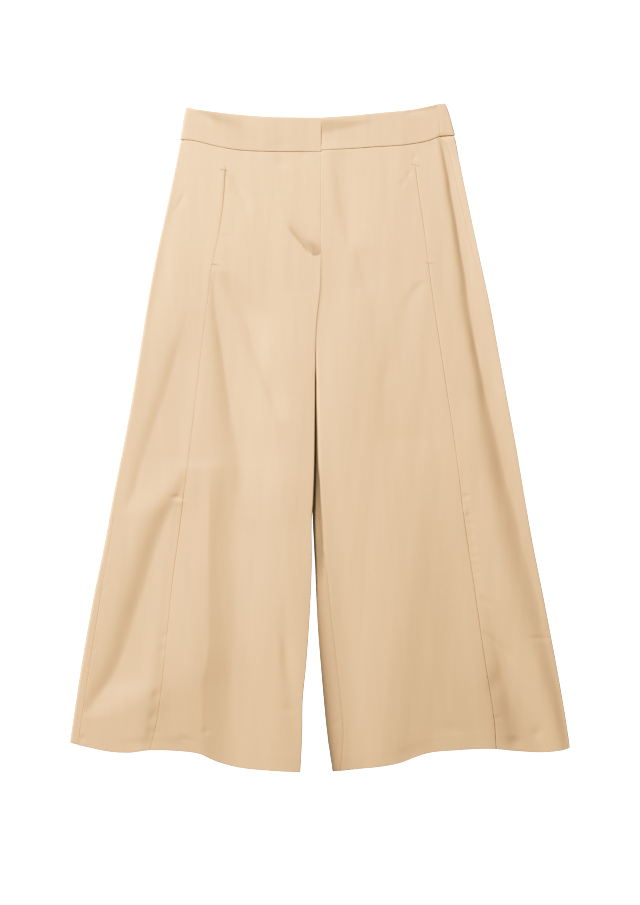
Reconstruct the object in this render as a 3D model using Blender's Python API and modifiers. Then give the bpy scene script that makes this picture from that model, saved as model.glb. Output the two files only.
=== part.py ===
# Culottes laid flat on their back, front side up, waist towards +Y and hems towards -Y.
# The underside rests on z = 0. Right and left are the wearer's: the right leg lies at -X.
# Every panel is a sheet through sections of the garment, thickened into a wall of cloth.
# Tables are in millimetres; objects are made in metres.

import math

import bmesh
import bpy

MM = 0.001

# Cloth and seams
CLOTH = 1.2  # wall of one layer
BAND_CLOTH = 2.2  # wall of the waistband, a folded double layer
SEAM_GAP = 0.3  # between neighbouring pieces along a flat seam
ROLLED_GAP = 0.7  # between the middles of two walls that turn over an edge at their seam
LAP_DROP = 2.1  # how far an under layer's middle runs below the layer over it
BAND_LAP_DROP = 2.9
FLY_LAP = 26.0  # underlap of the left front behind the fly
BAND_LAP = 30.0  # underlap of the left waistband
PLEAT_LAP = 12.0  # pleat underlay behind the princess seam
LAP_START = 3.0  # an under layer lies at its full drop from this far outside the seam
LAP_RAMP = 12.0  # width over which it comes up to the seam's height again
BAND_LAP_START = 9.0
BAND_LAP_RAMP = 26.0
LAP_FOOT = 12.0  # an underlay ends this far short of its seam's end
LAP_FADE = 18.0  # length over which it then reaches its full width
DIP_LEAD = 45.0  # an under layer starts to drop this far beyond its seam's end
DIP_FADE = 30.0
GAP_FADE = 2.0  # a seam this near to a rolled edge narrows its gap
EDGE_CLEAR = 0.02
CENTRE_STEP = 2.0  # the right half of the waistband sits this much lower at centre front
CENTRE_STEP_FADE = 60.0  # width over which the back waist seam takes up that step
BACK_HEM_IN = 1.5  # the back hem and back waist edge lie this far inside the front's

# Levels along the length
FLY_FOOT_Y = 250.0
FORK_Y = 88.0  # where both legs' seams meet
INSEAM_FULL_Y = 40.0  # below it the inseam has reached its place on the leg's edge
FORK_BLEND = 12.0  # height over which the legs part at the fork
PLEAT_Y = -78.0  # release mark of the pleat in each princess seam
WAIST_GUESS_Y = 400.0  # near the waist seam, and near the hem, at any column
HEM_GUESS_Y = -430.0

# Rolled edges
OUTER_NOSE = 3.6  # height of the outermost line of a side edge
OUTER_LEAN = 11.0  # width over which a side edge rounds up to the front's height
FORK_NOSE = 2.9
INNER_NOSE = {"right": 5.0, "left": 3.4}
NOSE_RISE = 150.0  # length below the fork over which a leg's inner edge gains its height
LEAST_ROLL = 0.1  # share of that height where the roll begins
TUCK_CLEAR = 0.25  # tuck at which the front's inner edge keeps its whole clearance
EDGE_POWER = 1.7  # 1 is a straight slope, 2 a quarter ellipse
INNER_ZONE = 42.0  # flat stretch of the back panel that shares its rows with the inner roll

# Rows and columns of the sheets
ROWS = 34
CENTRE_COLUMNS = 15
SIDE_COLUMNS = 9
LAP_COLUMNS = 2
BAND_COLUMNS = 16
BAND_ROWS = 2
COLUMN_GATHER = 1.5  # above 1 the centre front's columns gather towards its inner edge
WRAP_STEPS = 10  # points of a roll before it is cut into columns
LEVEL_ROUNDS = 5

COTTON = (0.79, 0.60, 0.40, 1.0)
COTTON_BAND = (0.80, 0.61, 0.41, 1.0)
COTTON_ROUGHNESS = 0.75

# The outline of the sides: y, right edge x, left edge x
OUTLINE = (
    (452, -179, 168),
    (440, -182, 173),
    (402, -188.5, 183),
    (375, -193.5, 188),
    (310, -207, 201.5),
    (246, -221, 215),
    (181, -233, 229),
    (116, -243.5, 241),
    (51, -254, 253),
    (-13, -266, 265),
    (-78, -279, 276),
    (-143, -291, 287.5),
    (-208, -304.5, 300.5),
    (-273, -316.5, 313),
    (-338, -327, 325),
    (-410, -337.5, 336.5),
    (-426, -339, 337.5),
)

# Centre front and centre back down to the fork, then the legs' inner edges:
# y, right x, left x, tuck (0 lies level, 1 rolls right under), right lean, left lean
INNER = (
    (452, 1.4, 1.4, 0, 4, 4),
    (250, 1.4, 1.4, 0, 4, 4),
    (228, 1.0, 1.0, 0.12, 3.5, 3.5),
    (204, 0.4, 0.4, 0.3, 3, 3),
    (186, -1.4, -1.4, 0.4, 3, 3),
    (153, -4.7, -4.7, 0.6, 3, 3),
    (124, -5.7, -5.7, 0.8, 3, 3),
    (88, -5.8, -5.8, 1, 3, 3),
    (51, -6.0, -5.1, 1, 3, 3.5),
    (-38, -7.0, -6.0, 1, 3, 6),
    (-84, -8.6, -7.8, 1, 4, 11),
    (-111, -11.2, -10.2, 1, 6, 15),
    (-176, -11.6, -7.8, 1, 8, 20),
    (-240, -14.4, -5.5, 1, 9, 24),
    (-305, -19, -0.7, 1, 9, 27),
    (-354, -22.5, 4.2, 1, 9, 28),
    (-402, -23.2, 9, 1, 9, 26),
    (-452, -25.8, 16.4, 1, 9, 18),
)

# How far inside the outline the side seams run: y, right, left
SIDE_SEAM = (
    (452, 5, 10),
    (408, 6, 20),
    (395, 5, 14),
    (370, 4, 9),
    (330, 3, 9),
    (0, 3, 9),
    (-60, 5, 9),
    (-116, 7, 9),
    (-190, 10.5, 9.5),
    (-260, 15, 10),
    (-452, 16, 10),
)

# How far the left inseam lies inside that leg's inner edge: y, distance
LEFT_INSEAM = (
    (88, 0),
    (10, 1),
    (-51, 3.5),
    (-95, 7),
    (-125, 11),
    (-177, 16),
    (-221, 19),
    (-281, 22),
    (-378, 24.5),
    (-418, 19.5),
    (-452, 11),
)

# Princess seams: y, x
PRINCESS = {
    "right": (
        (386, -126.4),
        (360, -127),
        (308, -131),
        (267, -137.7),
        (235, -145),
        (186, -151),
        (132, -158),
        (58, -166.7),
        (-16, -175.5),
        (-78, -183.2),
        (-121, -188.3),
        (-197, -198.7),
        (-323, -211.5),
        (-377, -218.4),
        (-424, -229),
    ),
    "left": (
        (398, 128.5),
        (367, 128.8),
        (331, 133),
        (284, 140),
        (239, 145.5),
        (188, 152.6),
        (86, 168.3),
        (-22, 184.5),
        (-100, 193.5),
        (-205, 209),
        (-284, 220.2),
        (-378, 235.2),
        (-420, 237.6),
    ),
}

# The waistband's edges on the front: x, top edge y, waist seam y
WAIST = {
    "right": (
        (-190, 446, 402.3),
        (-175.5, 444, 401.5),
        (-162, 442.5, 399),
        (-138, 439.2, 393),
        (-109, 436, 388.2),
        (-67, 433, 386.2),
        (0, 432, 386),
    ),
    "left": (
        (0, 432, 388),
        (43, 434.8, 390.2),
        (81, 438.6, 393.8),
        (126, 443, 398),
        (148.5, 447.6, 404),
        (162, 450, 407.2),
        (184, 451.5, 408.2),
    ),
}

# The front hems: x, y
HEM = {
    "right": (
        (-339, -410.4),
        (-310, -417.3),
        (-283, -422.6),
        (-256, -423.9),
        (-229, -420.5),
        (-189, -421.7),
        (-162, -425.4),
        (-148, -432),
        (-135, -437.4),
        (-108, -444.2),
        (-67, -448.2),
        (-25, -450.4),
    ),
    "left": (
        (16, -449.8),
        (54, -445.2),
        (81, -442.5),
        (108, -437.4),
        (128, -430),
        (148, -424),
        (175, -421.3),
        (229, -418.8),
        (263, -421.9),
        (297, -423.8),
        (324, -421.2),
        (339, -417.2),
    ),
}

# Height of the front's middle over the floor, before its folds: y, height
LOFT = (
    (452, 8.4),
    (386, 8.6),
    (310, 9.2),
    (245, 10),
    (88, 11),
    (-80, 12),
    (-270, 12.3),
    (-452, 12.2),
)

# Folds of the front: side, reach towards -X, reach towards +X, and rows of
# y, x, depth (a trough is positive and a ridge negative)
FOLDS = {
    "hip_drape": ("right", 9, 12, ((315, -205, 0), (281, -212, 1.2), (186, -224, 1.2), (132, -229, 0))),
    "outer_drape": (
        "right", 14, 16,
        ((162, -189, 0), (126, -200, 2), (72, -216, 3.2), (-36, -243, 3.2), (-73, -260, 2), (-97, -273, 0)),
    ),
    "side_drape": (
        "right", 12, 18,
        (
            (-43, -181, 0), (-65, -191, 2.8), (-97, -208, 4), (-151, -232, 4.8), (-280, -279, 4.8),
            (-329, -299, 4), (-370, -318, 1.6), (-401, -331, 0),
        ),
    ),
    "pocket_drape": (
        "right", 15, 10,
        (
            (224, -144, 0), (186, -141, 3), (126, -134, 6), (51, -123.5, 6.5), (-16, -114, 5.5),
            (-59, -108.5, 3), (-90, -106, 0),
        ),
    ),
    "thigh_hollow": (
        "right", 22, 22,
        (
            (0, -131, 0), (-57, -128, 3), (-165, -125, 4.6), (-246, -128, 4.6), (-327, -134, 4.6),
            (-450, -144, 3.6),
        ),
    ),
    "lap_drape": (
        "right", 12, 16,
        ((219, -138, 0), (197, -121, 1.4), (157, -94, 1.7), (105, -77, 1.7), (58, -64, 1.5), (18, -49, 0)),
    ),
    "inner_leg_drape": (
        "right", 10, 14,
        ((-192, -48, 0), (-273, -45, 1.6), (-354, -39, 1.6), (-430, -34, 0)),
    ),
    "inner_crest": (
        "right", 60, 60,
        ((200, -40, 0), (80, -40, -3), (-100, -50, -4), (-280, -66, -4), (-452, -78, -3.5)),
    ),
    "side_fold": (
        "left", 11, 9,
        (
            (411, 161, 0), (375, 170, 3), (335, 178, 5.5), (281, 188, 7.5), (213, 199, 9), (146, 210, 9.6),
            (62, 224.5, 9.8), (-23, 239.5, 9.8), (-84, 254, 8), (-138, 266, 6.5), (-185, 278, 5.5),
            (-248, 292, 4.5), (-313, 306, 3), (-388, 323, 1.5), (-424, 331, 0),
        ),
    ),
    "side_swell": (
        "left", 38, 40,
        (
            (395, 168, 0), (281, 188, -2), (146, 210, -3), (-23, 240, -3), (-138, 262, -1.5),
            (-250, 285, 0),
        ),
    ),
    "inner_crest_left": (
        "left", 50, 50,
        ((200, 40, 0), (80, 40, -3), (-100, 50, -4), (-280, 50, -3), (-452, 50, -2)),
    ),
    "side_crest": (
        "left", 28, 15,
        (
            (51, 182, 0), (-3, 198, -2), (-84, 221, -3), (-165, 243, -4), (-246, 263, -4), (-327, 290, -4),
            (-394, 313, -3), (-424, 322, -2),
        ),
    ),
    "hem_hollow": (
        "left", 9, 24,
        ((-219, 222, 0), (-286, 235, 3), (-354, 249, 5), (-394, 260, 6), (-424, 268, 6)),
    ),
    "knee_crest": (
        "left", 45, 26,
        ((0, 124, 0), (-84, 121, -2), (-165, 115, -4), (-246, 107, -4.5), (-327, 98, -4.5), (-450, 72, -4)),
    ),
    "fly_drape": (
        "left", 8, 12,
        ((390, 14, 0), (355, 19, 1.6), (308, 28, 2), (261, 38, 1.7), (227, 53, 1.2), (196, 60, 0)),
    ),
    "pocket_drape_left": (
        "left", 14, 12,
        (
            (216, 144, 0), (198, 127, 1.4), (159, 112, 2), (112, 99, 2), (72, 87, 1.6), (-3, 82, 1),
            (-57, 80, 0),
        ),
    ),
}

SIGN = {"right": 1.0, "left": -1.0}  # the way inwards along X from a side's outer edge
EDGE_COLUMN = {"right": 1, "left": 2}
LEAN_COLUMN = {"right": 4, "left": 5}


def clamp(value, low, high):
    return max(low, min(high, value))


def ease(value):
    """0 below 0, 1 above 1, and a smooth step between."""
    part = clamp(value, 0.0, 1.0)
    return part * part * (3 - 2 * part)


def slope(rows, index, column):
    """Slope of a smooth curve through the rows at one of them."""
    low = max(index - 1, 0)
    high = min(index + 1, len(rows) - 1)
    return (rows[high][column] - rows[low][column]) / (rows[high][0] - rows[low][0])


def through(rows, at, column=1):
    """The column's value at a place in the first column, on a smooth curve through the rows."""
    if rows[0][0] > rows[-1][0]:
        rows = rows[::-1]
    at = clamp(at, rows[0][0], rows[-1][0])
    index = 0
    while index < len(rows) - 2 and at > rows[index + 1][0]:
        index += 1
    start, end = rows[index], rows[index + 1]
    step = end[0] - start[0]
    part = (at - start[0]) / step
    rise_in = slope(rows, index, column) * step
    rise_out = slope(rows, index + 1, column) * step
    low, high = start[column], end[column]
    return (
        low * (1 + 2 * part) * (1 - part) ** 2
        + high * part * part * (3 - 2 * part)
        + rise_in * part * (1 - part) ** 2
        - rise_out * part * part * (1 - part)
    )


def outer_x(side, y):
    """The side edge's outermost line on the middle of the cloth."""
    return through(OUTLINE, y, EDGE_COLUMN[side]) + SIGN[side] * CLOTH / 2


def inner_x(side, y, rolled=None):
    """Centre back, and below the fork the innermost line of the leg's rolled edge."""
    if rolled is None:
        rolled = ease(0.5 + (FORK_Y - y) / FORK_BLEND)
    return through(INNER, y, EDGE_COLUMN[side]) - SIGN[side] * rolled * (CLOTH + SEAM_GAP) / 2


def front_inner_x(side, y):
    """The same for the front, whose centre seam sinks between the legs as it nears the fork."""
    return inner_x(side, y, min(1.0, tuck_at(y) / TUCK_CLEAR))


def tuck_at(y):
    return clamp(through(INNER, y, 3), 0.0, 1.0)


def side_seam_x(side, y):
    return outer_x(side, y) + SIGN[side] * through(SIDE_SEAM, y, EDGE_COLUMN[side])


def princess_x(side, y):
    return through(PRINCESS[side], y)


def waist_y(side, x):
    return through(WAIST[side], x, 2)


def top_y(side, x):
    return through(WAIST[side], x, 1)


def hem_y(side, x):
    return through(HEM[side], x)


def inseam_in(side, y):
    """How far the inseam lies inside the leg's inner edge."""
    return max(through(LEFT_INSEAM, y), 0.0) if side == "left" else 0.0


def inner_nose(side, y):
    """Height of the innermost line of a leg's rolled edge."""
    below_fork = ease((FORK_Y - y) / NOSE_RISE)
    return FORK_NOSE + (INNER_NOSE[side] - FORK_NOSE) * below_fork


def rounded(part):
    """Rise of a rolled edge, from 0 at its outermost line to 1 at its shoulder."""
    part = clamp(part, 0.0, 1.0)
    return (1 - (1 - part) ** EDGE_POWER) ** (1 / EDGE_POWER)


def fold_depth(side, x, y):
    total = 0.0
    for fold_side, reach_low, reach_high, rows in FOLDS.values():
        if fold_side != side or not rows[-1][0] < y < rows[0][0]:
            continue
        away = x - through(rows, y, 1)
        reach = reach_low if away < 0 else reach_high
        total += through(rows, y, 2) * math.exp(-((away / reach) ** 2))
    return total


def front_z(side, x, y):
    """Height of the middle of the front's cloth."""
    height = through(LOFT, y) - fold_depth(side, x, y)
    from_outer = (x - outer_x(side, y)) * SIGN[side]
    height = OUTER_NOSE + (height - OUTER_NOSE) * rounded(from_outer / OUTER_LEAN)
    from_inner = (front_inner_x(side, y) - x) * SIGN[side]
    lean = through(INNER, y, LEAN_COLUMN[side])
    return height - tuck_at(y) * (height - inner_nose(side, y)) * (1 - rounded(from_inner / lean))


def roll(edge, nose, inward, low):
    """Section points of a rolled edge's lower half, from its outermost line down to the flat underside."""
    radius = nose - low
    points = []
    for step in range(WRAP_STEPS // 2 + 1):
        turn = math.pi / 2 * step / (WRAP_STEPS // 2)
        points.append((edge + inward * radius * (1 - math.cos(turn)), nose - radius * math.sin(turn)))
    return points


def over_edge(side, edge, inward, reach, y):
    """Section points of the front's surface, from a distance inside an edge out to the edge."""
    points = []
    for step in range(WRAP_STEPS):
        away = reach * (1 - step / WRAP_STEPS) ** 2
        x = edge + inward * away
        points.append((x, front_z(side, x, y)))
    return points


def back_section(side, y):
    """Section of a back panel at one level, from the side seam round the side edge, along the
    floor and up the leg's inner edge, or to centre back. Also the stretch before the flat."""
    inward = SIGN[side]
    edge = outer_x(side, y)
    low = CLOTH / 2
    reach = through(SIDE_SEAM, y, EDGE_COLUMN[side]) - ROLLED_GAP / 2
    points = over_edge(side, edge, inward, reach, y)
    points += roll(edge, OUTER_NOSE, inward, low)
    outer_end = len(points)
    inner = inner_x(side, y)
    if y >= FORK_Y:
        points.append((inner - inward * INNER_ZONE, low))
        points.append((inner - inward * SEAM_GAP / 2, low))
        return points, outer_end, length_of(points)
    grown = ease((FORK_Y - y) / (FORK_Y - INSEAM_FULL_Y))
    nose = low + (inner_nose(side, y) - low) * max(grown, LEAST_ROLL)
    points.append((inner - inward * INNER_ZONE, low))
    start = length_of(points)
    points += roll(inner, nose, -inward, low)[::-1]
    reach = inseam_in(side, y)
    if reach > 0:
        reach -= SEAM_GAP / 2 * min(1.0, reach / GAP_FADE)
        points += over_edge(side, inner, -inward, reach, y)[::-1]
    whole = length_of(points) - ROLLED_GAP / 2
    at_fork = start + INNER_ZONE - SEAM_GAP / 2
    return points, outer_end, at_fork + (whole - at_fork) * grown


def length_of(points):
    return sum(math.dist(a, b) for a, b in zip(points, points[1:]))


def walk(points, distance):
    """The point at a distance along a section."""
    for a, b in zip(points, points[1:]):
        step = math.dist(a, b)
        if distance <= step and step > 0:
            part = distance / step
            return a[0] + (b[0] - a[0]) * part, a[1] + (b[1] - a[1]) * part
        distance -= step
    return points[-1]


def sheet(name, columns, rows, place, thickness, colour, collection):
    """A grid of cloth, each of its points put in place, thickened evenly to both sides."""
    mesh = bpy.data.meshes.new(name)
    work = bmesh.new()
    bmesh.ops.create_grid(work, x_segments=columns, y_segments=rows, size=0.5)
    for vertex in work.verts:
        across = clamp(vertex.co.x + 0.5, 0.0, 1.0)
        down = clamp(0.5 - vertex.co.y, 0.0, 1.0)
        x, y, z = place(across, down)
        vertex.co = (x * MM, y * MM, z * MM)
    work.to_mesh(mesh)
    work.free()
    made = bpy.data.objects.new(name, mesh)
    collection.objects.link(made)
    wall = made.modifiers.new("wall", "SOLIDIFY")
    wall.thickness = thickness * MM
    wall.offset = 0
    material = bpy.data.materials.new(name)
    material.use_nodes = True
    shader = material.node_tree.nodes["Principled BSDF"]
    shader.inputs["Base Color"].default_value = colour
    shader.inputs["Roughness"].default_value = COTTON_ROUGHNESS
    shader.inputs["Metallic"].default_value = 0.0
    mesh.materials.append(material)
    return made


def level_at(edge_y, x_at, guess):
    """Where a column, with its x known at each level, meets an edge whose y is known at each x."""
    y = guess
    for _ in range(LEVEL_ROUNDS):
        y = edge_y(x_at(y))
    return y


def spread(low_x, high_x, start_y, end_y):
    """Place of a front sheet's point: its x between two boundaries, its y between two edges."""

    def place(across, down):
        def x_at(y):
            return low_x(y) + (high_x(y) - low_x(y)) * across

        first_y = level_at(start_y, x_at, WAIST_GUESS_Y)
        last_y = level_at(end_y, x_at, HEM_GUESS_Y)
        y = first_y + (last_y - first_y) * down
        return x_at(y), y

    return place


def own_side(side, x):
    return min(x, 0) if side == "right" else max(x, 0)


def fly_lap(y):
    return FLY_LAP * ease((y - FLY_FOOT_Y - LAP_FOOT) / LAP_FADE)


def fly_dip(x, y):
    """How far the left front dips under the right one at centre front."""
    along = ease((y - FLY_FOOT_Y + DIP_LEAD) / DIP_FADE)
    away = x - inner_x("left", y, 0)
    return LAP_DROP * along * ease(1 - (away - LAP_START) / LAP_RAMP)


def pleat_lap(y):
    return PLEAT_LAP * ease((PLEAT_Y - LAP_FOOT - y) / LAP_FADE)


def pleat_dip(side, x, y):
    """How far a side-front panel dips under the centre panel below the pleat's release mark."""
    along = ease((PLEAT_Y + DIP_LEAD - y) / DIP_FADE)
    away = (princess_x(side, y) - x) * SIGN[side]
    return LAP_DROP * along * ease(1 - (away - LAP_START) / LAP_RAMP)


def centre_front(side, collection):
    inward = SIGN[side]
    gap = SEAM_GAP / 2

    def at_princess(y):
        return princess_x(side, y) + inward * gap

    def at_inner(y):
        reach = inseam_in(side, y)
        edge = front_inner_x(side, y)
        if y >= FORK_Y:
            lap = fly_lap(y) if side == "left" else 0.0
            return edge - inward * (gap - lap)
        return edge - inward * (EDGE_CLEAR + reach + ROLLED_GAP / 2 * min(1.0, reach / GAP_FADE))

    layout = spread(
        at_princess,
        at_inner,
        lambda x: waist_y(side, own_side(side, x)) - gap,
        lambda x: hem_y(side, x),
    )

    def place(across, down):
        if side == "left":
            across = 1 - across
        x, y = layout(1 - (1 - across) ** COLUMN_GATHER, down)
        z = front_z(side, x, y)
        if side == "left":
            z -= fly_dip(x, y)
        return x, y, z

    return sheet("centre_front_" + side, CENTRE_COLUMNS, ROWS, place, CLOTH, COTTON, collection)


def side_front(side, collection):
    inward = SIGN[side]
    columns = SIDE_COLUMNS + LAP_COLUMNS
    border = SIDE_COLUMNS / columns

    def at_side(y):
        return side_seam_x(side, y) + inward * ROLLED_GAP / 2

    def at_border(y):
        return princess_x(side, y) - inward * LAP_START

    def at_princess(y):
        return princess_x(side, y) - inward * (SEAM_GAP / 2 - pleat_lap(y))

    edges = (lambda x: waist_y(side, x) - SEAM_GAP / 2, lambda x: hem_y(side, x))
    panel = spread(at_side, at_border, *edges)
    underlay = spread(at_border, at_princess, *edges)

    def place(across, down):
        if side == "left":
            across = 1 - across
        if across <= border:
            x, y = panel(across / border, down)
        else:
            x, y = underlay((across - border) / (1 - border), down)
        return x, y, front_z(side, x, y) - pleat_dip(side, x, y)

    return sheet("side_front_" + side, columns, ROWS, place, CLOTH, COTTON, collection)


# Columns of a back panel as shares of its three stretches: round the side edge,
# along the floor, and round the leg's inner edge
OUTER_SHARES = (0, 0.3, 0.55, 0.7, 0.8, 0.9, 1)
FLOOR_SHARES = (0.06, 0.2, 0.35, 0.5, 0.65, 0.8, 0.94)
INNER_SHARES = (0, 0.3, 0.5, 0.62, 0.72, 0.8, 0.88, 0.94, 1)
BACK_COLUMNS = len(OUTER_SHARES) + len(FLOOR_SHARES) + len(INNER_SHARES) - 1


def back_point(side, column, y):
    points, outer_end, whole = back_section(side, y)
    outer = length_of(points[:outer_end])
    inner = length_of(points[: outer_end + 1])
    if column < len(OUTER_SHARES):
        distance = outer * OUTER_SHARES[column]
    elif column < len(OUTER_SHARES) + len(FLOOR_SHARES):
        distance = outer + (inner - outer) * FLOOR_SHARES[column - len(OUTER_SHARES)]
    else:
        share = INNER_SHARES[column - len(OUTER_SHARES) - len(FLOOR_SHARES)]
        distance = inner + (whole - inner) * share
    return walk(points, distance)


def under_share(z):
    """1 on the floor, 0 from the height of the side edge's outermost line up."""
    return 1 - clamp((z - CLOTH / 2) / (OUTER_NOSE - CLOTH / 2), 0.0, 1.0)


def back_waist(side, column):
    """Top edge and waist seam levels of the back at a column, and its share on the floor."""

    def seam_y(x):
        x = own_side(side, x)
        step = CENTRE_STEP * ease(1 - x / CENTRE_STEP_FADE) if side == "left" else 0.0
        return waist_y(side, x) - step

    seam = level_at(seam_y, lambda y: back_point(side, column, y)[0], WAIST_GUESS_Y)
    x, z = back_point(side, column, seam)
    return top_y(side, own_side(side, x)), seam, under_share(z)


def back(side, collection):
    def place(across, down):
        # Columns run in from the side seam, which is the low end of X on the right panel only.
        column = round(across * BACK_COLUMNS)
        if side == "left":
            column = BACK_COLUMNS - column
        _, first_y, _ = back_waist(side, column)
        last_x, last_z = back_point(side, column, HEM_GUESS_Y)
        first_y -= SEAM_GAP / 2
        last_y = hem_y(side, last_x) + BACK_HEM_IN * under_share(last_z)
        y = first_y + (last_y - first_y) * down
        x, z = back_point(side, column, y)
        return x, y, z

    return sheet("back_" + side, BACK_COLUMNS, ROWS, place, CLOTH, COTTON, collection)


def front_band(side, collection):
    inward = SIGN[side]

    def at_side(y):
        return side_seam_x(side, y) + inward * ROLLED_GAP / 2

    def at_centre(y):
        lap = BAND_LAP if side == "left" else 0.0
        return inner_x(side, y, 0) - inward * (SEAM_GAP / 2 - lap)

    layout = spread(
        at_side,
        at_centre,
        lambda x: top_y(side, own_side(side, x)),
        lambda x: waist_y(side, own_side(side, x)) + SEAM_GAP / 2,
    )

    def place(across, down):
        if side == "left":
            across = 1 - across
        x, y = layout(across, down)
        z = front_z(side, x, y)
        if side == "left":
            away = x - inner_x(side, y, 0)
            z -= BAND_LAP_DROP * ease(1 - (away - BAND_LAP_START) / BAND_LAP_RAMP)
        return x, y, z

    name = "front_waistband_" + side
    return sheet(name, BAND_COLUMNS, BAND_ROWS, place, BAND_CLOTH, COTTON_BAND, collection)


def back_band(collection):
    """One piece from side seam to side seam, on the columns of both back panels."""
    last = BACK_COLUMNS
    low = BAND_CLOTH / 2

    def place(across, down):
        column = round(across * 2 * last)
        side = "right" if column <= last else "left"
        column = min(column, 2 * last - column)
        start, end, under = back_waist(side, column)
        y = start - BACK_HEM_IN * under
        y += (end + SEAM_GAP / 2 - y) * down
        x, z = back_point(side, column, y)
        if z < OUTER_NOSE:
            z = OUTER_NOSE - (OUTER_NOSE - z) * (OUTER_NOSE - low) / (OUTER_NOSE - CLOTH / 2)
        return x, y, z

    return sheet("back_waistband", 2 * last, BAND_ROWS, place, BAND_CLOTH, COTTON_BAND, collection)


def main():
    for old in list(bpy.data.objects):
        bpy.data.objects.remove(old, do_unlink=True)
    collection = bpy.data.collections.new("culottes")
    bpy.context.scene.collection.children.link(collection)
    for side in ("right", "left"):
        centre_front(side, collection)
        side_front(side, collection)
        back(side, collection)
        front_band(side, collection)
    back_band(collection)


main()
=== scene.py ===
import math

import bpy
import numpy as np
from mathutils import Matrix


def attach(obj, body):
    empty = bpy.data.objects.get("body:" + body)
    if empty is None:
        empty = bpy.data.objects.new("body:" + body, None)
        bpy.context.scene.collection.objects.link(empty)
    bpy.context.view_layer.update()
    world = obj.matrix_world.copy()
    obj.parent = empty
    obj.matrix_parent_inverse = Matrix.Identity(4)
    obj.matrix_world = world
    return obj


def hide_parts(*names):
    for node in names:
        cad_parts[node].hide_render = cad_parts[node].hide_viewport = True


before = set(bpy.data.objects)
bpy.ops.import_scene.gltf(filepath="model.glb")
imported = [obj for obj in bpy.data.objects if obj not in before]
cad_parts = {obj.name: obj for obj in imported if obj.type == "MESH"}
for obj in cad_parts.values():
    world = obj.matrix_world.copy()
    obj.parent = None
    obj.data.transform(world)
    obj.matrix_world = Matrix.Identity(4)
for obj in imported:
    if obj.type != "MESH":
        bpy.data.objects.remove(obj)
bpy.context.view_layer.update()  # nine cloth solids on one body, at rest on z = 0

mm = 0.001  # every table below is in millimetres, +Y towards the waist, the wearer's right leg at -X


def ease(value):
    part = np.clip(value, 0.0, 1.0)
    return part * part * (3 - 2 * part)


def ramp(value, start, run):
    # from 0 at the start to 1 a run further on; with a run below 0 it rises the other way
    return ease((value - start) / run)


def through(rows, at, column=1):
    # the column's value on a smooth curve through the rows, read at places in the first column;
    # a side's name stands for its column
    table = np.array(rows, float)
    if table[0, 0] > table[-1, 0]:
        table = table[::-1]
    places, values = table[:, 0], table[:, sideColumn.get(column, column)]
    low = np.maximum(np.arange(len(table)) - 1, 0)
    high = np.minimum(np.arange(len(table)) + 1, len(table) - 1)
    slopes = (values[high] - values[low]) / (places[high] - places[low])
    at = np.clip(at, places[0], places[-1])
    index = np.clip(np.searchsorted(places, at, side="right") - 1, 0, len(table) - 2)
    step = places[index + 1] - places[index]
    part = (at - places[index]) / step
    risen = ease(part)
    bowIn = slopes[index] * step * part * (1 - part) ** 2
    bowOut = slopes[index + 1] * step * part * part * (1 - part)
    return values[index] * (1 - risen) + values[index + 1] * risen + bowIn - bowOut


def rounded(part):
    # rise of a rolled edge, from 0 at its outermost line to 1 at its shoulder
    part = np.clip(part, 0.0, 1.0)
    return (1 - (1 - part) ** cut["rollPower"]) ** (1 / cut["rollPower"])


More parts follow.
